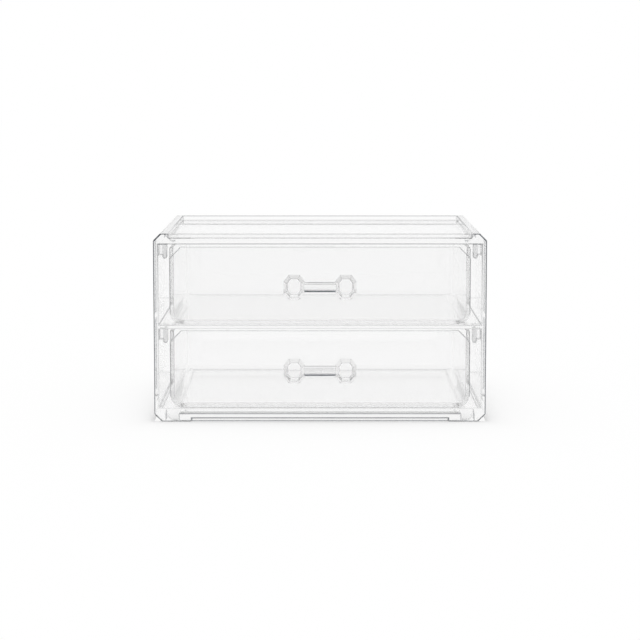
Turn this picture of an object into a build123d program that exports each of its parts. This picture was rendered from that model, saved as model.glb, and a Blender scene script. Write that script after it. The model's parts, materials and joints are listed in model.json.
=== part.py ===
from build123d import *
import os

# Clear two-drawer desk organiser, in millimetres.
# +Z is up, the drawers pull out towards -Y, and X is the width.
# The origin is on the surface that the case stands on, under the middle of the closed organiser.

# ---- case ----
CASE_WIDTH = 240.0
CASE_DEPTH = 150.0
CORNER_BEVEL = 5.1          # legs of the 45 degree cut along each long corner of the case
SIDE_THICKNESS = 3.8
PANEL_THICKNESS = 3.0       # base panel and middle shelf
TOP_THICKNESS = 4.0
BACK_THICKNESS = 3.4
SKIRT_HEIGHT = 6.8          # how far the base panel stands above the table
SKIRT_THICKNESS = 3.4
RIM_HEIGHT = 3.7            # how far the rim stands above the top panel
RIM_THICKNESS = 3.4
RIM_LAND = 5.4              # flat top of a top corner bar
FOOT_LAND = 12.4            # flat foot of a base corner bar
STEP_WIDTH = 186.0          # shallow step along the foot of the front skirt
STEP_HEIGHT = 2.5
STEP_DEPTH = 1.2

# ---- guide tabs ----
TAB_WIDTH = 6.1
TAB_HEIGHT = 10.8
TAB_DEPTH = 8.0
TAB_FINGER = 3.4            # width of the long inner part of the tab
TAB_WEB_HEIGHT = 8.2        # height of the web between that part and the side panel
TAB_ROUND = 1.5             # radius of the long part's lower edges
TAB_SETBACK = 0.6           # from the closed drawer front to the tab

# ---- drawers ----
TRAY_WALL = 2.7
TRAY_FLOOR = 2.9
FRONT_THICKNESS = 3.0
FRONT_HEIGHT = 56.3
FRONT_CUT = 8.0             # legs of the front's 45 degree corner cuts
FRONT_EDGE_BEVEL = 0.4
TRAY_ROUND = 8.0            # outer radius of the tray's foot and rear edges
WALL_STEP = 0.6             # the tray's walls stop this far below the top of the front

# ---- handle ----
KNOB_WIDTH = 15.2
KNOB_HEIGHT = 17.9
KNOB_DEPTH = 12.0
KNOB_SIDE_CUT = 3.65        # corner cut of the octagon, measured along X
KNOB_TOP_CUT = 4.65         # corner cut of the octagon, measured along Z
KNOB_GIRDLE = 7.5           # distance of the widest octagon from the drawer front
KNOB_TABLE_RATIO = 0.76     # front facet against the widest octagon
KNOB_ROOT_RATIO = 0.62      # root facet against the widest octagon
KNOB_SPACING = 37.0         # between the two knob centres
BAR_HEIGHT = 7.2
BAR_DEPTH = 4.6
BAR_EDGE = 1.5              # bevel along the bar's long edges
BAR_STANDOFF = 4.6          # finger gap between the drawer front and the bar

# ---- clearances ----
RUNNING_GAP = 0.3           # under each drawer
TOP_GAP = 1.0               # over the lower drawer's front
UPPER_TOP_GAP = 1.8         # over the upper drawer's front
REAR_GAP = 1.6              # behind each closed drawer
TAB_GAP = 1.8               # between a guide tab and the drawer's side

# ---- places worked out from the sizes above ----
FRONT_Y = (KNOB_DEPTH - CASE_DEPTH) / 2
REAR_Y = FRONT_Y + CASE_DEPTH
BACK_Y = REAR_Y - BACK_THICKNESS
OUTER_X = CASE_WIDTH / 2
INNER_X = OUTER_X - SIDE_THICKNESS
RIM_X = OUTER_X - CORNER_BEVEL - RIM_LAND
FOOT_X = OUTER_X - CORNER_BEVEL - FOOT_LAND
BASE_TOP = SKIRT_HEIGHT + PANEL_THICKNESS
DRAWER_HEIGHT = RUNNING_GAP + FRONT_HEIGHT
SHELF_BOTTOM = BASE_TOP + DRAWER_HEIGHT + TOP_GAP
SHELF_TOP = SHELF_BOTTOM + PANEL_THICKNESS
TOP_BOTTOM = SHELF_TOP + DRAWER_HEIGHT + UPPER_TOP_GAP
TOP_TOP = TOP_BOTTOM + TOP_THICKNESS
CASE_HEIGHT = TOP_TOP + RIM_HEIGHT
DRAWER_X = INNER_X - TAB_WIDTH - TAB_GAP
WALL_Y = FRONT_Y + FRONT_THICKNESS
DRAWER_REAR_Y = BACK_Y - REAR_GAP
TAB_Y = WALL_Y + TAB_SETBACK

os.makedirs("parts", exist_ok=True)


def save(name, shape):
    """Write one sub-part to its own file."""
    shape.label = name
    export_step(shape, f"parts/{name}.step")


def block(x0, x1, y0, y1, z0, z1):
    """A box between two corners."""
    return Pos((x0 + x1) / 2, (y0 + y1) / 2, (z0 + z1) / 2) * Box(x1 - x0, y1 - y0, z1 - z0)


def prism_y(points, y0, y1):
    """An outline in X and Z, run along Y from y0 to y1."""
    outline = Polyline(*[(x, y0, z) for x, z in points], close=True)
    return extrude(make_face(outline), amount=y1 - y0, dir=(0, 1, 0))


def mirrored(shape, side):
    """The shape itself on the right (side 1), its mirror image on the left (side -1)."""
    return shape if side > 0 else mirror(shape, about=Plane.YZ)


# ---- case pieces ----
def side_panel():
    return block(INNER_X, OUTER_X, FRONT_Y, REAR_Y, CORNER_BEVEL, CASE_HEIGHT - CORNER_BEVEL)


def top_corner_bar():
    """Sits on the side panel and the top panel; its outer face is the 45 degree corner."""
    shoulder = CASE_HEIGHT - CORNER_BEVEL
    return prism_y([(OUTER_X, shoulder), (OUTER_X - CORNER_BEVEL, CASE_HEIGHT),
                    (RIM_X, CASE_HEIGHT), (RIM_X, TOP_TOP), (INNER_X, TOP_TOP),
                    (INNER_X, shoulder)], FRONT_Y, REAR_Y)


def base_corner_bar():
    """The same corner at the foot, under the side panel and the base panel."""
    return prism_y([(OUTER_X, CORNER_BEVEL), (OUTER_X - CORNER_BEVEL, 0), (FOOT_X, 0),
                    (FOOT_X, SKIRT_HEIGHT), (INNER_X, SKIRT_HEIGHT), (INNER_X, CORNER_BEVEL)],
                   FRONT_Y, REAR_Y)


def rim_bar(y0):
    """Closes the rim at the front or the rear, between the two top corner bars."""
    return block(-RIM_X, RIM_X, y0, y0 + RIM_THICKNESS, TOP_TOP, CASE_HEIGHT)


def skirt_bar(y0):
    """Closes the foot at the front or the rear, between the two base corner bars."""
    return block(-FOOT_X, FOOT_X, y0, y0 + SKIRT_THICKNESS, 0, SKIRT_HEIGHT)


def front_skirt():
    """The front skirt bar, with a shallow step along the lower edge of its face."""
    step = block(-STEP_WIDTH / 2, STEP_WIDTH / 2, FRONT_Y, FRONT_Y + STEP_DEPTH, 0, STEP_HEIGHT)
    return skirt_bar(FRONT_Y) - step


def guide_tab(z_top):
    """A round-ended finger that hangs beside the drawer, with a shorter web to the side panel."""
    inner, outer = INNER_X - TAB_WIDTH, INNER_X - TAB_WIDTH + TAB_FINGER
    finger = block(inner, outer, TAB_Y, TAB_Y + TAB_DEPTH, z_top - TAB_HEIGHT, z_top)
    lower = finger.edges().filter_by(Axis.Y).group_by(Axis.Z)[0]
    web = block(outer, INNER_X, TAB_Y, TAB_Y + TAB_DEPTH, z_top - TAB_WEB_HEIGHT, z_top)
    return fillet(lower, TAB_ROUND) + web


def build_case():
    save("top_panel", block(-INNER_X, INNER_X, FRONT_Y, REAR_Y, TOP_BOTTOM, TOP_TOP))
    save("middle_shelf", block(-INNER_X, INNER_X, FRONT_Y, BACK_Y, SHELF_BOTTOM, SHELF_TOP))
    save("base_panel", block(-INNER_X, INNER_X, FRONT_Y, REAR_Y, SKIRT_HEIGHT, BASE_TOP))
    save("back_panel", block(-INNER_X, INNER_X, BACK_Y, REAR_Y, BASE_TOP, TOP_BOTTOM))
    save("front_rim_bar", rim_bar(FRONT_Y))
    save("rear_rim_bar", rim_bar(REAR_Y - RIM_THICKNESS))
    save("front_skirt_bar", front_skirt())
    save("rear_skirt_bar", skirt_bar(REAR_Y - SKIRT_THICKNESS))
    for hand, side in (("left", -1), ("right", 1)):
        save(f"{hand}_side_panel", mirrored(side_panel(), side))
        save(f"top_{hand}_corner_bar", mirrored(top_corner_bar(), side))
        save(f"base_{hand}_corner_bar", mirrored(base_corner_bar(), side))
        save(f"upper_{hand}_guide_tab", mirrored(guide_tab(TOP_BOTTOM), side))
        save(f"lower_{hand}_guide_tab", mirrored(guide_tab(SHELF_BOTTOM), side))


# ---- drawer pieces, each made with the drawer's underside at z ----
def octagon(width, height, width_cut, height_cut, centre, centre_z):
    """Corner points of a rectangle with its corners cut, as pairs."""
    w, h = width / 2, height / 2
    a, b = w - width_cut, h - height_cut
    corners = [(a, h), (w, b), (w, -b), (a, -h), (-a, -h), (-w, -b), (-w, b), (-a, h)]
    return [(centre + across, centre_z + up) for across, up in corners]


def drawer_front(z):
    """The front panel, with its corners cut and its front edges bevelled."""
    points = octagon(2 * DRAWER_X, FRONT_HEIGHT, FRONT_CUT, FRONT_CUT,
                     0, z + FRONT_HEIGHT / 2)
    panel = prism_y(points, FRONT_Y, WALL_Y)
    return chamfer(panel.faces().sort_by(Axis.Y)[0].edges(), FRONT_EDGE_BEVEL)


def rounded_block(half_width, y_rear, z_bottom, z_top, radius):
    """A block behind the front panel, rounded at both sides, at the rear and up the rear corners."""
    body = block(-half_width, half_width, WALL_Y, y_rear, z_bottom, z_top)
    rear = body.faces().sort_by(Axis.Y)[-1].edges().sort_by(Axis.Z)[:3]
    sides = body.faces().sort_by(Axis.Z)[0].edges().filter_by(Axis.Y)
    return fillet(rear + sides, radius)


def drawer_tray(z):
    """Floor, sides and back as one thin moulding; the front panel closes it."""
    wall_top = z + FRONT_HEIGHT - WALL_STEP
    shell = rounded_block(DRAWER_X, DRAWER_REAR_Y, z, wall_top, TRAY_ROUND)
    hollow = rounded_block(DRAWER_X - TRAY_WALL, DRAWER_REAR_Y - TRAY_WALL, z + TRAY_FLOOR,
                           wall_top, TRAY_ROUND - TRAY_WALL)
    return shell - hollow


def knob(z):
    """One faceted stud: an octagon that widens to its girdle and narrows to its front facet."""
    stations = ((0, KNOB_ROOT_RATIO), (KNOB_GIRDLE, 1), (KNOB_DEPTH, KNOB_TABLE_RATIO))
    sections = []
    for distance, ratio in stations:
        points = octagon(KNOB_WIDTH * ratio, KNOB_HEIGHT * ratio, KNOB_SIDE_CUT * ratio,
                         KNOB_TOP_CUT * ratio, KNOB_SPACING / 2, z)
        y = FRONT_Y - distance
        sections.append(make_face(Polyline(*[(px, y, pz) for px, pz in points], close=True)))
    return loft(sections[:2], ruled=True) + loft(sections[1:], ruled=True)


def handle_bar(z):
    """The bar between the knobs, with its long edges bevelled and its ends cut to the facets."""
    y_middle = FRONT_Y - BAR_STANDOFF - BAR_DEPTH / 2
    reach = KNOB_SPACING / 2
    points = octagon(BAR_DEPTH, BAR_HEIGHT, BAR_EDGE, BAR_EDGE, y_middle, z)
    outline = Polyline(*[(-reach, y, pz) for y, pz in points], close=True)
    bar = extrude(make_face(outline), amount=2 * reach, dir=(1, 0, 0))
    return bar - knob(z) - mirrored(knob(z), -1)


def build_drawer(name, z):
    handle_z = z + FRONT_HEIGHT / 2
    save(f"{name}_front", drawer_front(z))
    save(f"{name}_tray", drawer_tray(z))
    save(f"{name}_handle_bar", handle_bar(handle_z))
    for hand, side in (("left", -1), ("right", 1)):
        save(f"{name}_{hand}_knob", mirrored(knob(handle_z), side))


build_case()
build_drawer("lower_drawer", BASE_TOP + RUNNING_GAP)
build_drawer("upper_drawer", SHELF_TOP + RUNNING_GAP)
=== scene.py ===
"""Clear two-drawer desk organiser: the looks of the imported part, built around its own frame.

Lengths in the classes are in millimetres, as in the part, and turn to metres where they meet Blender. Only
the studio's are in metres.
"""

import json
import logging
import math
from dataclasses import dataclass
from enum import Enum
from typing import Callable, Iterable, Optional, Sequence

import bmesh
import bpy
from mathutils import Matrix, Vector

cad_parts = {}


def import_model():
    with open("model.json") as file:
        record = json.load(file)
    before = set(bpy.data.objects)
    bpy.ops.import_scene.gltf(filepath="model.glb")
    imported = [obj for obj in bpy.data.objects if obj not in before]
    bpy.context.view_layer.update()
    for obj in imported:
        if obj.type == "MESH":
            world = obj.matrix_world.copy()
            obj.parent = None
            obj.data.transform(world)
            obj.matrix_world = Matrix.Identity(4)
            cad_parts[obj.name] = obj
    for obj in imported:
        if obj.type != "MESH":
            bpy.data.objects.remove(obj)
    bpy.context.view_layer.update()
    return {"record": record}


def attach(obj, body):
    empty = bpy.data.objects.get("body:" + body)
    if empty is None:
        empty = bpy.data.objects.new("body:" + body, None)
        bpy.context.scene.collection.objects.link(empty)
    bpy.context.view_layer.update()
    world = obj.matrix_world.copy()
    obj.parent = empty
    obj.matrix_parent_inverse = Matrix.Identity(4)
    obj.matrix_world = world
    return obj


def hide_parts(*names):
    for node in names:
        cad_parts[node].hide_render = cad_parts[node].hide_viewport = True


MM = 0.001
# The face attribute that holds each face's painted edge shade.
PAINTED_EDGE_SHADE = "soft_edge"
EDGE_SLOT = 1  # the material slot that a rounding has until it is marked
FRONT = -69.0  # the drawers are flush with the case's front, along Y
RUNNING_GAP = 0.3  # air under each drawer

SAME = 0.1  # places closer than this, in millimetres, count as one
ALONG = 0.99  # a unit direction with this much of an axis runs along it
LEANING = 0.3  # a normal with this much of an axis leans that way
CUT_LEANING = 0.25  # the same for the rounding along a front's corner cut
FACING = 0.5  # a normal with this much of an axis mostly faces that way
MERGE_DISTANCE = 0.01  # points closer than this, in millimetres, are merged
FLAT_ANGLE = math.radians(1)  # faces that meet at less than this are one panel
SOFTENED_ANGLE = math.radians(25)  # edges that turn by more than this are rounded
STRIP_WIDTH = 1.2  # faces narrower than this, in millimetres, are parts of a rounding

log = logging.getLogger("organiser")

Point = tuple[float, float, float]
Weight = Callable[[Vector, Vector, bool], float]


class Body(Enum):
    """The part's moving bodies, by their names in the frame."""

    CASE = "case"
    LOWER_DRAWER = "lower_drawer"
    UPPER_DRAWER = "upper_drawer"


class Slot(Enum):
    """The record's material slots."""

    CASE = "clear_case_plastic"
    DRAWER = "clear_drawer_plastic"
    HANDLE = "faceted_handle_plastic"


# ---------------------------------------------------------------- small tools


def linear(hex_colour: str) -> tuple[float, float, float, float]:
    """Turns an sRGB hex colour to the linear one that a shader socket takes.

    Args:
        hex_colour: Six hex digits with a leading #.

    Returns:
        Linear red, green, blue and an alpha of 1.
    """
    parts = [int(hex_colour[i : i + 2], 16) / 255 for i in (1, 3, 5)]
    r, g, b = (c / 12.92 if c <= 0.04045 else ((c + 0.055) / 1.055) ** 2.4 for c in parts)
    return r, g, b, 1.0


def add_node(tree: bpy.types.NodeTree, kind: str, inputs: Optional[dict] = None,
             **settings: object) -> bpy.types.Node:
    """Adds a node, sets it up and links it.

    Args:
        tree: The node tree that gets the node.
        kind: Blender's type name for the node.
        inputs: Values or output sockets, by input name or number.
        **settings: The node's own properties.

    Returns:
        The new node.
    """
    node = tree.nodes.new(kind)
    for name, value in settings.items():
        setattr(node, name, value)
    for key, value in (inputs or {}).items():
        socket = node.inputs[key]
        if isinstance(value, bpy.types.NodeSocket):
            tree.links.new(value, socket)
        else:
            socket.default_value = value
    return node


def deselect_all() -> None:
    """Leaves nothing selected, so that the next operator acts on the new piece alone."""
    if bpy.context.object and bpy.context.object.mode != "OBJECT":
        bpy.ops.object.mode_set(mode="OBJECT")
    bpy.ops.object.select_all(action="DESELECT")


def make_active(piece: bpy.types.Object) -> None:
    """Selects one piece alone and makes it the active one.

    Args:
        piece: The piece.
    """
    deselect_all()
    piece.select_set(True)
    bpy.context.view_layer.objects.active = piece


def block(name: str, low: Point, high: Point) -> bpy.types.Object:
    """Adds a cube and sizes it to a box between two corners.

    Args:
        name: The piece's name.
        low: Lowest corner in millimetres.
        high: Highest corner in millimetres.

    Returns:
        The piece, with its place in its mesh.
    """
    deselect_all()
    centre = [(a + b) / 2 * MM for a, b in zip(low, high)]
    size = [(b - a) * MM for a, b in zip(low, high)]
    bpy.ops.mesh.primitive_cube_add(size=1, location=centre, scale=size)
    piece = bpy.context.object
    piece.name = piece.data.name = name
    bpy.ops.object.transform_apply(location=True, rotation=True, scale=True)
    return piece


def bevel_edges(piece: bpy.types.Object, width: float, wanted: Callable[[Vector, Vector], bool],
                segments: int = 1) -> None:
    """Cuts a flat bevel along chosen edges, or rounds them.

    Args:
        piece: The piece to cut.
        width: Length of the bevel's legs, or the radius, in millimetres.
        wanted: Says of an edge's middle and direction, in millimetres, if it is cut.
        segments: Faces across the bevel; one is flat.
    """
    make_active(piece)
    bpy.ops.object.mode_set(mode="EDIT")
    bpy.ops.mesh.select_mode(type="EDGE")
    bpy.ops.mesh.select_all(action="DESELECT")
    mesh = bmesh.from_edit_mesh(piece.data)
    for edge in mesh.edges:
        a, b = (v.co / MM for v in edge.verts)
        if wanted((a + b) / 2, (b - a).normalized()):
            edge.select_set(True)
    bmesh.update_edit_mesh(piece.data)
    bpy.ops.mesh.bevel(offset_type="OFFSET", offset=width * MM, segments=segments, affect="EDGES")
    bpy.ops.object.mode_set(mode="OBJECT")


def combine(piece: bpy.types.Object, other: bpy.types.Object, operation: str) -> None:
    """Joins another solid to the piece or cuts it out, and removes the other.

    Args:
        piece: The piece that is kept.
        other: The solid that is used up.
        operation: UNION or DIFFERENCE.
    """
    make_active(piece)
    modifier = piece.modifiers.new("combine", "BOOLEAN")
    modifier.operation, modifier.object, modifier.solver = operation, other, "EXACT"
    bpy.ops.object.modifier_apply(modifier=modifier.name)
    bpy.data.objects.remove(other)


def soften_edges(piece: bpy.types.Object, width: float, segments: int = 2) -> None:
    """Merges what lies in one plane, then rounds every edge a little, as a mould or a polish leaves it.

    The rounded edges come out with the second material slot, by which paint_edge_shade knows them.

    Args:
        piece: The finished shape.
        width: Width of the rounding in millimetres.
        segments: Faces across the rounding.
    """
    make_active(piece)
    bpy.ops.object.mode_set(mode="EDIT")
    bpy.ops.mesh.select_all(action="SELECT")
    bpy.ops.mesh.remove_doubles(threshold=MERGE_DISTANCE * MM)
    bpy.ops.mesh.dissolve_limited(angle_limit=FLAT_ANGLE)
    bpy.ops.mesh.normals_make_consistent(inside=False)
    bpy.ops.object.mode_set(mode="OBJECT")
    piece.data.materials.clear()
    for _ in ("panels", "soft edges"):
        piece.data.materials.append(None)
    modifier = piece.modifiers.new("soft_edges", "BEVEL")
    modifier.limit_method, modifier.angle_limit = "ANGLE", SOFTENED_ANGLE
    modifier.width, modifier.segments, modifier.use_clamp_overlap = width * MM, segments, False
    modifier.material = EDGE_SLOT
    bpy.ops.object.modifier_apply(modifier=modifier.name)
    smooth_strips(piece)


def smooth_strips(piece: bpy.types.Object) -> None:
    """Shades the narrow faces of roundings smooth and leaves the panels and facets flat and true.

    Args:
        piece: The piece.
    """
    make_active(piece)
    bpy.ops.object.shade_flat()
    bpy.ops.object.mode_set(mode="EDIT")
    bpy.ops.mesh.select_mode(type="FACE")
    bpy.ops.mesh.select_all(action="DESELECT")
    mesh = bmesh.from_edit_mesh(piece.data)
    for face in mesh.faces:
        longest = max(edge.calc_length() for edge in face.edges)
        face.select_set(face.calc_area() / longest < STRIP_WIDTH * MM)
    bmesh.update_edit_mesh(piece.data)
    bpy.ops.mesh.faces_shade_smooth()
    bpy.ops.object.mode_set(mode="OBJECT")


def split_across(piece: bpy.types.Object, places: Iterable[float],
                 wanted: Callable[[Vector], bool]) -> None:
    """Splits chosen faces where they cross planes of constant X, so that their parts can be marked apart.

    Args:
        piece: The piece.
        places: Where the planes are, in millimetres; each is mirrored to the other side.
        wanted: Says of a face's middle, in millimetres, if it is split.
    """
    make_active(piece)
    for x in (side * place for place in places for side in (-1, 1)):
        bpy.ops.object.mode_set(mode="EDIT")
        bpy.ops.mesh.select_mode(type="FACE")
        bpy.ops.mesh.select_all(action="DESELECT")
        mesh = bmesh.from_edit_mesh(piece.data)
        for face in mesh.faces:
            face.select_set(wanted(face.calc_center_median() / MM))
        bmesh.update_edit_mesh(piece.data)
        bpy.ops.mesh.bisect(plane_co=(x * MM, 0, 0), plane_no=(1, 0, 0))
        bpy.ops.object.mode_set(mode="OBJECT")


def paint_edge_shade(piece: bpy.types.Object, weight: Weight) -> None:
    """Writes each face's painted edge shade, how strongly it reads as an edge, to the piece's attribute,
    which its finish reads.

    Args:
        piece: The piece, whose soft edges have the second material slot.
        weight: Gives 0 to 2 for a face's middle in millimetres, its normal, and whether it is a soft edge.
            At 0 the face is clear, at 1 it is painted grey, and above 1 it also hides what lies behind it.
    """
    mesh = piece.data
    mark = mesh.attributes.new(PAINTED_EDGE_SHADE, "FLOAT", "FACE")
    for face in mesh.polygons:
        soft = face.material_index == EDGE_SLOT
        mark.data[face.index].value = weight(face.center / MM, face.normal, soft)
        face.material_index = 0


def dress(piece: bpy.types.Object, material: bpy.types.Material, body: Body, slot: Slot,
          nodes: Sequence[str]) -> None:
    """Gives a finished piece its material, its body, its slot and the CAD nodes that it stands for.

    Args:
        piece: The finished piece.
        material: Its finish.
        body: The body that it moves with.
        slot: The record's slot of that finish; not used.
        nodes: The CAD nodes that it replaces.
    """
    piece.data.materials.clear()
    piece.data.materials.append(material)
    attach(piece, body.value)
    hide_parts(*nodes)
    log.info("%s: %d faces, on %s", piece.name, len(piece.data.polygons), body.value)


# ---------------------------------------------------------------- the finish


@dataclass(frozen=True)
class CrystalPlastic:
    """Crystal polystyrene, injection moulded in a polished tool.

    It is water clear face on. An edge bends the light from many sides and reads as a thin grey line; that
    line is painted shade, a dark edge colour blended in by the piece's edge marks, which say how strong the
    line is.
    """

    name: str
    ior: float = 1.52  # polystyrene's own is 1.59, brought down to how little the panels mirror
    roughness: float = 0.04  # the polish lets the reflections deep inside the bars melt into soft bands
    colour: str = "#FEFEFE"
    # Painted shade: the dark grey that the edge marks blend in where an edge bends the light away.
    painted_edge_shade_colour: str = "#3C4148"
    tint: str = "#141010"  # next to black, so that the wall takes away all colours about evenly
    loss_per_metre: float = 0.3
    shade_breakup_size: float = 9.0  # the painted edge shade comes and goes over this many millimetres
    shade_breakup_detail: float = 3.0
    shade_breakup_roughness: float = 0.6
    shade_breakup_from: float = 0.3
    shade_breakup_full: float = 0.65
    shade_breakup_low: float = 0.95  # share of an edge's painted shade that is left where the noise is least
    spots_from: float = 0.42  # noise below this leaves a deep edge clear
    spots_full: float = 0.52  # and above this paints it as dark as its mark says

    def build(self) -> bpy.types.Material:
        """Makes the material.

        Returns:
            The clear material.
        """
        material = bpy.data.materials.new(self.name)
        material.use_nodes = True
        tree = material.node_tree
        tree.nodes.clear()
        edge = add_node(tree, "ShaderNodeAttribute", attribute_name=PAINTED_EDGE_SHADE).outputs["Fac"]
        where = add_node(tree, "ShaderNodeTexCoord").outputs["Object"]
        # Noise lets the painted grey shade of an edge come and go a little along its length.
        shade_breakup = add_node(tree, "ShaderNodeTexNoise", {
            "Vector": where, "Scale": 1 / (self.shade_breakup_size * MM),
            "Detail": self.shade_breakup_detail, "Roughness": self.shade_breakup_roughness}).outputs[0]
        strength = add_node(tree, "ShaderNodeMapRange", {
            "Value": shade_breakup, "From Min": self.shade_breakup_from, "From Max": self.shade_breakup_full,
            "To Min": self.shade_breakup_low, "To Max": 1.0}).outputs[0]
        mark = add_node(tree, "ShaderNodeMath", {0: edge, 1: strength}, operation="MULTIPLY").outputs[0]
        colour = add_node(tree, "ShaderNodeMix", {
            0: mark, 6: linear(self.colour), 7: linear(self.painted_edge_shade_colour)}, data_type="RGBA").outputs[2]
        # A mark above 1 paints dark, opaque spots of shade, as where a tight corner throws back no light at
        # all.
        deep = add_node(tree, "ShaderNodeMath", {0: edge, 1: 1.0}, operation="SUBTRACT", use_clamp=True)
        spots = add_node(tree, "ShaderNodeMapRange", {
            "Value": shade_breakup, "From Min": self.spots_from, "From Max": self.spots_full})
        solid = add_node(tree, "ShaderNodeMath", {
            0: deep.outputs[0], 1: spots.outputs[0]}, operation="MULTIPLY")
        clear = add_node(tree, "ShaderNodeMath", {0: 1.0, 1: solid.outputs[0]}, operation="SUBTRACT")
        surface = add_node(tree, "ShaderNodeBsdfPrincipled", {
            "Base Color": colour, "Roughness": self.roughness, "IOR": self.ior,
            "Transmission Weight": clear.outputs[0]})
        body = add_node(tree, "ShaderNodeVolumeAbsorption", {
            "Color": linear(self.tint), "Density": self.loss_per_metre})
        add_node(tree, "ShaderNodeOutputMaterial", {
            "Surface": surface.outputs["BSDF"], "Volume": body.outputs["Volume"]})
        return material


# ---------------------------------------------------------------- the case


@dataclass(frozen=True)
class CaseEdgeShade:
    """How much painted shade darkens the faces of the case, so that their edges read as grey lines."""

    outline: float = 1.0  # the outer corners, the foot and the top's outer edges
    corner: float = 1.9  # the top front corners, whose painted dark line breaks up into dashes
    skirt: float = 0.9  # the front edges of the base and of the top panel
    rim: float = 0.6  # the rear rim's inner top edge
    fillet: float = 0.55  # the fillet inside the foot, a painted grey band from the front
    tab: float = 0.4  # the fingers of the guide tabs
    land: float = 0.3  # the flat tops of the side rims
    inner: float = 0.3  # every other edge in sight
    rear: float = 0.05  # edges near the back, which hardly show


@dataclass
class Case:
    """The case: sides, top, shelf, base and back with their rims and skirts, as one clear body."""

    material: bpy.types.Material
    nodes: Sequence[str]
    marks: CaseEdgeShade = CaseEdgeShade()
    half_width: float = 120.0
    front: float = FRONT
    rear: float = 81.0
    back_inside: float = 77.6
    height: float = 136.5
    corner_bevel: float = 5.1
    side_inside: float = 116.2
    land_inside: float = 109.5
    rim: float = 3.4
    foot_inside: float = 102.5
    skirt_height: float = 6.8
    step_reach: float = 93.0
    step_height: float = 2.5
    step_depth: float = 1.2
    base_top: float = 9.8
    shelf_bottom: float = 67.4
    shelf_top: float = 70.4
    top_bottom: float = 128.8
    top_top: float = 132.8
    outline_bevel: float = 0.5
    foot_fillet: float = 1.4
    edge: float = 0.58
    rear_zone: float = 5.0  # edges closer than this to the back panel read as rear ones
    past: float = 5.0  # how far a cutter reaches out of the case
    tab_width: float = 6.1
    tab_height: float = 10.8
    tab_depth: float = 8.0
    tab_front: float = -65.4
    tab_finger: float = 3.4
    tab_web_height: float = 8.2
    tab_round: float = 1.5
    tab_round_segments: int = 5
    tab_bite: float = 0.5  # how far a tab reaches into the panel and the side that hold it

    @property
    def tab_inside(self) -> float:
        """Where a tab's finger faces the drawer, along X."""
        return self.side_inside - self.tab_width

    @property
    def tab_split(self) -> float:
        """Where a tab's finger ends and its web begins, along X."""
        return self.tab_inside + self.tab_finger

    @property
    def margin(self) -> float:
        """How far from a corner the middle of its soft edge can be."""
        return 2 * self.edge

    def hollow(self, half: float, front: float, rear: float, low: float, high: float) -> bpy.types.Object:
        """A block to cut out of the case.

        Args:
            half: Half its width.
            front: Its front, along Y.
            rear: Its rear, along Y.
            low: Its underside.
            high: Its top.

        Returns:
            The block.
        """
        return block("cutter", (-half, front, low), (half, rear, high))

    def shell(self) -> bpy.types.Object:
        """Builds the body of the case.

        Returns:
            The shell.
        """
        piece = block("clear_case", (-self.half_width, self.front, 0),
                      (self.half_width, self.rear, self.height))
        bevel_edges(piece, self.corner_bevel, lambda middle, along: abs(along.y) > ALONG)
        bevel_edges(piece, self.outline_bevel, lambda middle, along: (
            abs(middle.y - self.front) < SAME and abs(middle.x) > self.half_width - self.corner_bevel))
        rim_front, rim_rear, before = self.front + self.rim, self.rear - self.rim, self.front - self.past
        cuts = (
            (self.side_inside, before, self.back_inside, self.base_top, self.shelf_bottom),
            (self.side_inside, before, self.back_inside, self.shelf_top, self.top_bottom),
            (self.land_inside, rim_front, rim_rear, self.top_top, self.height + self.past),
            (self.step_reach, before, self.front + self.step_depth, -self.past, self.step_height),
        )
        for cut in cuts:
            combine(piece, self.hollow(*cut), "DIFFERENCE")
        foot = self.hollow(self.foot_inside, rim_front, rim_rear, -self.past, self.skirt_height)
        bevel_edges(foot, self.foot_fillet, lambda middle, along: abs(middle.z - self.skirt_height) < SAME)
        combine(piece, foot, "DIFFERENCE")
        return piece

    def tab(self, side: int, z_top: float) -> bpy.types.Object:
        """A guide tab: a round-ended finger beside the drawer, with a shorter web to the side.

        Args:
            side: 1 on the right, -1 on the left.
            z_top: Height of the panel that it hangs from.

        Returns:
            The tab.
        """
        rear, foot = self.tab_front + self.tab_depth, z_top - self.tab_height
        parts = []
        for near, far, height in ((self.tab_inside, self.tab_split, self.tab_height),
                                  (self.tab_split, self.side_inside + self.tab_bite, self.tab_web_height)):
            low, high = sorted((side * near, side * far))
            parts.append(block("tab", (low, self.tab_front, z_top - height),
                               (high, rear, z_top + self.tab_bite)))
        finger, web = parts
        bevel_edges(finger, self.tab_round, lambda middle, along: (
            abs(along.y) > ALONG and abs(middle.z - foot) < SAME), segments=self.tab_round_segments)
        combine(finger, web, "UNION")
        return finger

    def on_finger(self, middle: Vector) -> bool:
        """Whether a face is on the finger of a guide tab.

        Args:
            middle: The face's middle.

        Returns:
            True on a finger.
        """
        across = self.tab_inside - SAME < abs(middle.x) < self.tab_split + SAME
        along = self.tab_front - SAME < middle.y < self.tab_front + self.tab_depth
        return across and along and self.base_top + self.margin < middle.z < self.top_bottom - self.edge

    def top_weight(self, middle: Vector, at_front: bool) -> float:
        """How much painted edge shade a soft edge at the very top gets.

        Args:
            middle: The face's middle.
            at_front: Whether it is on the front rim.

        Returns:
            Its weight.
        """
        if abs(middle.x) > self.land_inside or middle.y > self.rear - self.margin:
            return self.marks.outline
        if middle.y > self.back_inside - self.margin:
            return self.marks.rim
        return self.marks.inner if at_front else self.marks.land

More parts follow.
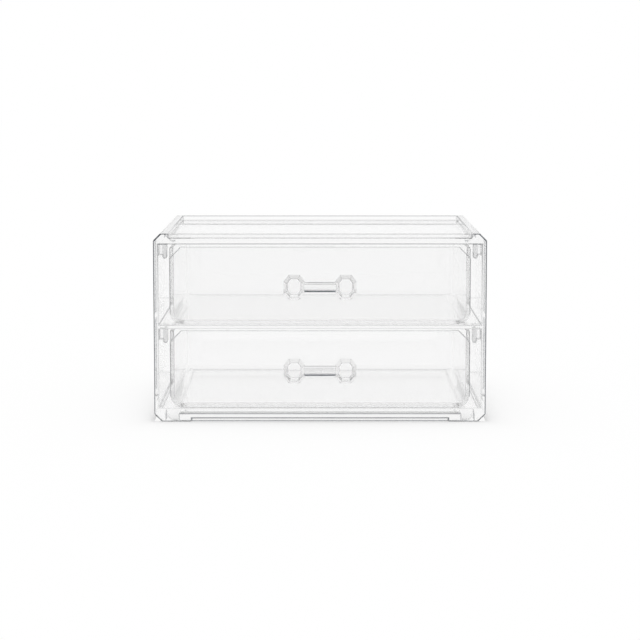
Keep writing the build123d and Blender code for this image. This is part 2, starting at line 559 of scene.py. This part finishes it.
    def edge_weight(self, middle: Vector, normal: Vector, soft: bool) -> float:
        """How much painted edge shade a face gets: fully on the outline, less inside it.

        Args:
            middle: The face's middle.
            normal: Its normal.
            soft: Whether it is a soft edge.

        Returns:
            0 to 2.
        """
        aside, margin, marks = abs(middle.x), self.margin, self.marks
        at_front = middle.y < self.front + self.rim + self.foot_fillet
        on_top, on_land = middle.z > self.height - margin, aside > self.land_inside
        if at_front and normal.y > LEANING and normal.z < -LEANING and middle.z < self.skirt_height:
            return marks.fillet
        if self.on_finger(middle):
            return marks.tab
        if on_top and on_land and normal.z > FACING and not at_front:
            return marks.land
        slanted = abs(normal.y) > LEANING and abs(normal.x) > LEANING
        if not soft and not (slanted and aside > self.half_width - self.corner_bevel):
            return 0.0
        if aside > self.half_width - margin or middle.z < margin:
            return marks.outline
        at_corner = at_front and aside > self.step_reach and middle.z > self.top_top - margin
        if at_corner and (on_land or not on_top):
            return marks.corner
        if on_top:
            return self.top_weight(middle, at_front)
        on_base = at_front and abs(middle.z - self.base_top) < margin
        if on_base or middle.y > self.back_inside - self.rear_zone:
            return marks.rear
        if at_front and (middle.z < self.base_top or middle.z > self.top_bottom - margin):
            return marks.skirt
        return marks.inner

    def build(self) -> None:
        """Builds and dresses the case."""
        piece = self.shell()
        for z_top in (self.shelf_bottom, self.top_bottom):
            for side in (-1, 1):
                combine(piece, self.tab(side, z_top), "UNION")
        soften_edges(piece, self.edge)
        split_across(piece, (self.step_reach, self.land_inside), lambda middle: middle.z > self.top_bottom)
        split_across(piece, (self.tab_split,), lambda middle: (
            abs(middle.x) > self.land_inside and abs(middle.y - self.tab_front) < SAME))
        paint_edge_shade(piece, self.edge_weight)
        dress(piece, self.material, Body.CASE, Slot.CASE, self.nodes)


# ---------------------------------------------------------------- the drawers


@dataclass(frozen=True)
class TubEdgeShade:
    """How much painted shade darkens the faces of a drawer's tub, so that their edges read as grey lines.
    """

    side: float = 0.85  # where the side walls meet the front, above its lower corner cuts
    level: float = 0.05  # the front's level edges
    cut: float = 0.2  # the front's corner cuts
    rear: float = 0.08  # all behind the front
    behind: float = 1.0  # how far behind the front its own edges can be, in millimetres
    beside: float = 2.0  # how far inside the side walls theirs can be


@dataclass(frozen=True)
class HandleEdgeShade:
    """How much painted shade darkens the faces of a handle, so that their edges read as grey lines."""

    girdle: float = 1.7  # the knobs' widest outline, where it slants
    line: float = 0.35  # every other edge
    under: float = 1.1  # painted shade on the underside of the bar


@dataclass
class Handle:
    """A dumbbell handle: two faceted knobs and the bar between them, as one clear body."""

    body: Body
    material: bpy.types.Material
    middle: float  # how high its middle is
    marks: HandleEdgeShade = HandleEdgeShade()
    front: float = FRONT
    knob_width: float = 15.2
    knob_height: float = 17.9
    knob_depth: float = 12.0
    knob_side_cut: float = 3.65
    knob_top_cut: float = 4.65
    knob_girdle: float = 7.5
    knob_blank: float = 1.0  # thickness of the octagon that a knob is drawn out of
    knob_seat: float = 0.02  # how far its root reaches into the front
    table_ratio: float = 0.76  # a knob's front facet against its girdle
    root_ratio: float = 0.62  # its root against its girdle
    knob_spacing: float = 37.0
    bar_height: float = 7.2
    bar_depth: float = 4.6
    bar_edge: float = 1.5
    bar_standoff: float = 4.6
    edge: float = 0.2

    def knob(self, side: int) -> bpy.types.Object:
        """One faceted knob: an octagon that widens to its girdle and narrows to its front facet.

        Args:
            side: 1 on the right, -1 on the left.

        Returns:
            The knob.
        """
        x = side * self.knob_spacing / 2
        stretch = self.knob_top_cut / self.knob_side_cut
        half_x, half_z = self.knob_width / 2 * stretch, self.knob_height / 2
        girdle = self.front - self.knob_girdle
        near = girdle - self.knob_blank
        piece = block("knob", (-half_x, near, self.middle - half_z), (half_x, girdle, self.middle + half_z))
        # The cuts are even on the stretched blank, and the right way uneven once it is narrowed.
        bevel_edges(piece, self.knob_top_cut, lambda middle, along: abs(along.y) > ALONG)
        make_active(piece)
        piece.scale = (1 / stretch, 1, 1)
        piece.location = (x * MM, 0, 0)
        bpy.ops.object.transform_apply(location=True, rotation=True, scale=True)
        centre = (x * MM, 0, self.middle * MM)
        self.draw_end(piece, near, self.front - self.knob_depth, self.table_ratio, centre)
        self.draw_end(piece, girdle, self.front + self.knob_seat, self.root_ratio, centre)
        return piece

    def draw_end(self, piece: bpy.types.Object, end: float, target: float, ratio: float,
                 centre: Point) -> None:
        """Moves one end face of the knob along Y and narrows it, which slants the facets round it.

        Args:
            piece: The knob.
            end: Where the end face is, along Y.
            target: Where it goes.
            ratio: Its size against the girdle.
            centre: The knob's middle in metres.
        """
        make_active(piece)
        bpy.ops.object.mode_set(mode="EDIT")
        bpy.ops.mesh.select_mode(type="FACE")
        bpy.ops.mesh.select_all(action="DESELECT")
        mesh = bmesh.from_edit_mesh(piece.data)
        for face in mesh.faces:
            if abs(face.normal.y) > FACING and abs(face.calc_center_median().y / MM - end) < SAME:
                face.select_set(True)
        bmesh.update_edit_mesh(piece.data)
        move = (0, (target - end) * MM, 0)
        if target > end:
            bpy.ops.mesh.extrude_region_move(TRANSFORM_OT_translate={"value": move})
        else:
            bpy.ops.transform.translate(value=move)
        bpy.ops.transform.resize(value=(ratio, 1, ratio), center_override=centre)
        bpy.ops.object.mode_set(mode="OBJECT")

    def weight(self, middle: Vector, normal: Vector, soft: bool) -> float:
        """How much painted edge shade a face gets: most on the knobs' outline and under the bar.

        Args:
            middle: The face's middle.
            normal: Its normal.
            soft: Whether it is a soft edge.

        Returns:
            0 to 2.
        """
        on_bar = abs(middle.x) < (self.knob_spacing - self.knob_width) / 2
        if not soft:
            # Painted shade: the flat underside of the bar is marked dark, where the light from below is
            # weaker.
            return self.marks.under if on_bar and normal.z < -FACING else 0.0
        at_girdle = abs(self.front - self.knob_girdle - middle.y) < 2 * self.edge
        slants = abs(normal.x) > LEANING and abs(normal.z) > LEANING
        return self.marks.girdle if at_girdle and slants and not on_bar else self.marks.line

    def build(self) -> None:
        """Builds and dresses the handle."""
        name = self.body.value
        reach, half_z = self.knob_spacing / 2, self.bar_height / 2
        near = self.front - self.bar_standoff
        piece = block(f"{name}_handle", (-reach, near - self.bar_depth, self.middle - half_z),
                      (reach, near, self.middle + half_z))
        bevel_edges(piece, self.bar_edge, lambda middle, along: abs(along.x) > ALONG)
        for side in (-1, 1):
            combine(piece, self.knob(side), "UNION")
        soften_edges(piece, self.edge)
        paint_edge_shade(piece, self.weight)
        dress(piece, self.material, self.body, Slot.HANDLE,
              [f"{name}_handle_bar", f"{name}_left_knob", f"{name}_right_knob"])


@dataclass
class Drawer:
    """A clear drawer: a tray with a round foot behind a front with four cut corners, and its handle."""

    body: Body
    material: bpy.types.Material
    handle_material: bpy.types.Material
    bottom: float
    marks: TubEdgeShade = TubEdgeShade()
    half_width: float = 108.3
    front: float = FRONT
    front_thickness: float = 3.0
    front_height: float = 56.3
    corner: float = 8.0
    front_bevel: float = 0.3
    inner_round: float = 5.3
    round_segments: int = 12
    rear: float = 76.0
    wall: float = 2.7
    floor: float = 2.9
    wall_step: float = 0.6
    edge: float = 0.4
    past: float = 1.0  # how far the hollow's cutter reaches over the tray

    def tray_block(self, name: str, half: float, rear: float, low: float, high: float,
                   radius: float) -> bpy.types.Object:
        """A block behind the front, with a round foot and round rear corners.

        Args:
            name: The block's name.
            half: Half its width.
            rear: Its rear, along Y.
            low: Its underside.
            high: Its top.
            radius: Radius of its round edges.

        Returns:
            The block.
        """
        piece = block(name, (-half, self.front + self.front_thickness, low), (half, rear, high))
        # At the rear all edges but the top one are round, and before it the two long ones of the foot.
        bevel_edges(piece, radius, lambda middle, along: (
            middle.z < high - SAME if abs(middle.y - rear) < SAME
            else abs(middle.z - low) < SAME and abs(along.y) > ALONG), self.round_segments)
        return piece

    def tub(self) -> bpy.types.Object:
        """Builds the tray and its front as one moulding.

        Returns:
            The tub.
        """
        front_top = self.bottom + self.front_height
        top = front_top - self.wall_step
        tray = self.tray_block(f"{self.body.value}_tub", self.half_width, self.rear, self.bottom, top,
                               self.corner)
        hollow = self.tray_block("cutter", self.half_width - self.wall, self.rear - self.wall,
                                 self.bottom + self.floor, top + self.past, self.inner_round)
        combine(tray, hollow, "DIFFERENCE")
        panel = block("front", (-self.half_width, self.front, self.bottom),
                      (self.half_width, self.front + self.front_thickness, front_top))
        bevel_edges(panel, self.corner, lambda middle, along: abs(along.y) > ALONG)
        bevel_edges(panel, self.front_bevel, lambda middle, along: abs(middle.y - self.front) < SAME)
        combine(tray, panel, "UNION")
        return tray

    def weight(self, middle: Vector, normal: Vector, soft: bool) -> float:
        """How much painted edge shade a face of the tub gets: most where the side walls meet the front.

        Args:
            middle: The face's middle.
            normal: Its normal.
            soft: Whether it is a soft edge.

        Returns:
            0 to 1.
        """
        marks = self.marks
        if not soft:
            return 0.0
        if middle.y > self.front + self.front_thickness + marks.behind:
            return marks.rear
        if abs(normal.z) > CUT_LEANING and abs(normal.x) > CUT_LEANING:
            return marks.cut
        at_side = abs(middle.x) > self.half_width - self.wall - marks.beside
        return marks.side if at_side and middle.z > self.bottom + self.corner else marks.level

    def build(self) -> None:
        """Builds and dresses the drawer and its handle."""
        name = self.body.value
        tub = self.tub()
        soften_edges(tub, self.edge)
        paint_edge_shade(tub, self.weight)
        dress(tub, self.material, self.body, Slot.DRAWER, [f"{name}_front", f"{name}_tray"])
        Handle(self.body, self.handle_material, self.bottom + self.front_height / 2).build()


# ---------------------------------------------------------------- the studio


@dataclass
class Studio:
    """The white table and the plain light round the organiser. Its lengths are in metres."""

    floor_size: float = 12.0
    floor_drop: float = 0.0001
    table_colour: str = "#F4F4F4"
    light_colour: str = "#FFFFFF"
    footprint: tuple[float, float, float] = (0.12, 0.0744, 0.0066)  # half width, half depth, middle along Y
    under_share: float = 0.08  # share of matt, shadowed table under the case
    contact_share: float = 0.9  # the same at its outline
    contact_fall: float = 0.003  # how far out that share halves
    near_table: float = 0.3  # the table is white up to here
    far_table: float = 0.5  # and as bright as the room from here on
    side_from: float = 0.55  # a direction with less of Y than this looks to the sides
    side_until: float = 0.9
    turn: float = 0.1  # half width of the change from the front of the room to its rear
    sides: float = 0.6  # how bright the room's sides are to a ray that was mirrored
    behind_camera: float = 0.8
    ceiling: float = 0.6
    ceiling_from: float = 0.25  # the ceiling starts where a direction has this much of Z
    ceiling_full: float = 0.5
    most_mirrors: int = 2  # rays that were mirrored more often see a white room
    lens: float = 97.03
    sensor: float = 36.0
    camera_place: Point = (0, -1.299, 0.259)
    camera_pitch: float = 5.23  # degrees down
    camera_shift: float = -0.1563
    clip: tuple[float, float] = (0.01, 100)
    bounces: int = 96

    def floor(self) -> None:
        """Lays the white table top."""
        deselect_all()
        bpy.ops.mesh.primitive_plane_add(size=self.floor_size, location=(0, 0, -self.floor_drop))
        floor = bpy.context.object
        floor.name = "white_table"
        # Matt white laminate: next to plain white, with a soft shadow round the foot of the case.
        material = bpy.data.materials.new("matt_white_laminate")
        material.use_nodes = True
        tree = material.node_tree
        tree.nodes.clear()
        path = add_node(tree, "ShaderNodeLightPath")
        where = add_node(tree, "ShaderNodeTexCoord").outputs["Object"]
        matt = add_node(tree, "ShaderNodeBsdfDiffuse", {"Color": linear(self.table_colour)}).outputs[0]
        far = add_node(tree, "ShaderNodeVectorMath", {0: where}, operation="LENGTH").outputs["Value"]
        away = add_node(tree, "ShaderNodeMapRange", {
            "Value": far, "From Min": self.near_table, "From Max": self.far_table}).outputs[0]
        light = add_node(tree, "ShaderNodeMix", {0: away, 2: 1.0, 3: self.room_light(tree, path, where)})
        glow = add_node(tree, "ShaderNodeEmission", {
            "Color": linear(self.light_colour), "Strength": light.outputs[0]}).outputs[0]
        mixed = add_node(tree, "ShaderNodeMixShader", {0: self.shadow_share(tree, where), 1: glow, 2: matt})
        picked = add_node(tree, "ShaderNodeMixShader", {
            0: self.straight_rays(tree, path), 1: matt, 2: mixed.outputs[0]})
        add_node(tree, "ShaderNodeOutputMaterial", {"Surface": picked.outputs[0]})
        floor.data.materials.append(material)
        log.info("%s: %.0f m across", floor.name, self.floor_size)

    def shadow_share(self, tree: bpy.types.NodeTree, where: bpy.types.NodeSocket) -> bpy.types.NodeSocket:
        """How much of the table's look is its matt, shadowed surface: most close to the foot of the case.

        Args:
            tree: The tree to add to.
            where: A place on the table.

        Returns:
            The socket with the share.
        """
        # The table's shade itself is rendered, but where it shows strongly is painted: a contact shadow
        # laid out by the case's footprint.
        half_x, half_y, middle_y = self.footprint
        kind = "ShaderNodeVectorMath"
        moved = add_node(tree, kind, {0: where, 1: (0, middle_y, 0)}, operation="SUBTRACT")
        size = add_node(tree, kind, {0: moved.outputs[0]}, operation="ABSOLUTE")
        beyond = add_node(tree, kind, {0: size.outputs[0], 1: (half_x, half_y, 1)}, operation="SUBTRACT")
        clear = add_node(tree, kind, {0: beyond.outputs[0], 1: (0, 0, 0)}, operation="MAXIMUM")
        gap = add_node(tree, kind, {0: clear.outputs[0]}, operation="LENGTH").outputs["Value"]
        spread = add_node(tree, "ShaderNodeMath", {0: gap, 1: self.contact_fall}, operation="ADD")
        share = add_node(tree, "ShaderNodeMath", {
            0: self.contact_share * self.contact_fall, 1: spread.outputs[0]}, operation="DIVIDE")
        outside = add_node(tree, "ShaderNodeMath", {0: gap, 1: 0.0}, operation="GREATER_THAN")
        return add_node(tree, "ShaderNodeMix", {
            0: outside.outputs[0], 2: self.under_share, 3: share.outputs[0]}).outputs[0]

    def straight_rays(self, tree: bpy.types.NodeTree, path: bpy.types.Node) -> bpy.types.NodeSocket:
        """1 for rays from the camera, a gloss or a clear wall, and 0 for the light on matt surfaces.

        Args:
            tree: The tree that holds the Light Path node.
            path: That node.

        Returns:
            The socket that holds the sum, clamped.
        """
        first = add_node(tree, "ShaderNodeMath", {
            0: path.outputs["Is Camera Ray"], 1: path.outputs["Is Glossy Ray"]}, operation="ADD")
        both = add_node(tree, "ShaderNodeMath", {
            0: first.outputs[0], 1: path.outputs["Is Transmission Ray"]}, operation="ADD", use_clamp=True)
        return both.outputs[0]

    def room_light(self, tree: bpy.types.NodeTree, path: bpy.types.Node,
                   where: bpy.types.NodeSocket) -> bpy.types.NodeSocket:
        """How bright the room is for a ray: white, but darker off the axis once a ray has been mirrored.

        Args:
            tree: The tree to add to.
            path: Its Light Path node.
            where: The direction, or a place on the table.

        Returns:
            The socket with the brightness.
        """
        unit = add_node(tree, "ShaderNodeVectorMath", {0: where}, operation="NORMALIZE")
        parts = add_node(tree, "ShaderNodeSeparateXYZ", {0: unit.outputs[0]})
        size = add_node(tree, "ShaderNodeMath", {0: parts.outputs["Y"]}, operation="ABSOLUTE")
        end = add_node(tree, "ShaderNodeMapRange", {
            "Value": parts.outputs["Y"], "From Min": -self.turn, "From Max": self.turn,
            "To Min": self.behind_camera, "To Max": 1.0})
        level = add_node(tree, "ShaderNodeMapRange", {
            "Value": size.outputs[0], "From Min": self.side_from, "From Max": self.side_until,
            "To Min": self.sides, "To Max": end.outputs[0]}, interpolation_type="SMOOTHSTEP")
        high = add_node(tree, "ShaderNodeMapRange", {
            "Value": parts.outputs["Z"], "From Min": self.ceiling_from, "From Max": self.ceiling_full},
            interpolation_type="SMOOTHSTEP")
        bent = add_node(tree, "ShaderNodeMix", {0: high.outputs[0], 2: level.outputs[0], 3: self.ceiling})
        mirrored = add_node(tree, "ShaderNodeMath", {
            0: path.outputs["Glossy Depth"], 1: (1 + self.most_mirrors) / 2, 2: self.most_mirrors / 2},
            operation="COMPARE")
        seen = add_node(tree, "ShaderNodeMix", {0: mirrored.outputs[0], 2: 1.0, 3: bent.outputs[0]})
        return seen.outputs[0]

    def world(self) -> None:
        """Surrounds the set with even white light."""
        world = bpy.data.worlds.new("white_room")
        bpy.context.scene.world = world
        world.use_nodes = True
        tree = world.node_tree
        tree.nodes.clear()
        path = add_node(tree, "ShaderNodeLightPath")
        where = add_node(tree, "ShaderNodeTexCoord").outputs["Generated"]
        light = add_node(tree, "ShaderNodeBackground", {
            "Color": linear(self.light_colour), "Strength": self.room_light(tree, path, where)})
        add_node(tree, "ShaderNodeOutputWorld", {"Surface": light.outputs[0]})

    def camera(self) -> None:
        """Stands the camera where the photograph was taken from."""
        data = bpy.data.cameras.new("camera")
        camera = bpy.data.objects.new("camera", data)
        bpy.context.scene.collection.objects.link(camera)
        data.sensor_width, data.lens = self.sensor, self.lens
        data.shift_y = self.camera_shift
        data.clip_start, data.clip_end = self.clip
        camera.location = self.camera_place
        camera.rotation_euler = (math.radians(90 - self.camera_pitch), 0, 0)
        bpy.context.scene.camera = camera

    def build(self) -> None:
        """Builds the whole set."""
        self.floor()
        self.world()
        self.camera()
        scene = bpy.context.scene
        scene.view_settings.view_transform = "Standard"
        cycles = scene.cycles
        cycles.max_bounces = cycles.transmission_bounces = cycles.glossy_bounces = self.bounces


def main() -> None:
    """Builds the organiser and its set around the frame."""
    logging.basicConfig(level=logging.INFO, format="%(message)s")
    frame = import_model()
    bodies = frame["record"]["behaviour"]["bodies"]
    shell = CrystalPlastic("crystal_polystyrene_case", colour="#FDFDFD").build()
    tray = CrystalPlastic("crystal_polystyrene_drawer").build()
    grip = CrystalPlastic("crystal_polystyrene_handle").build()
    case = Case(shell, bodies[Body.CASE.value])
    case.build()
    Drawer(Body.LOWER_DRAWER, tray, grip, case.base_top + RUNNING_GAP).build()
    Drawer(Body.UPPER_DRAWER, tray, grip, case.shelf_top + RUNNING_GAP).build()
    Studio().build()


if __name__ == "__main__":
    main()
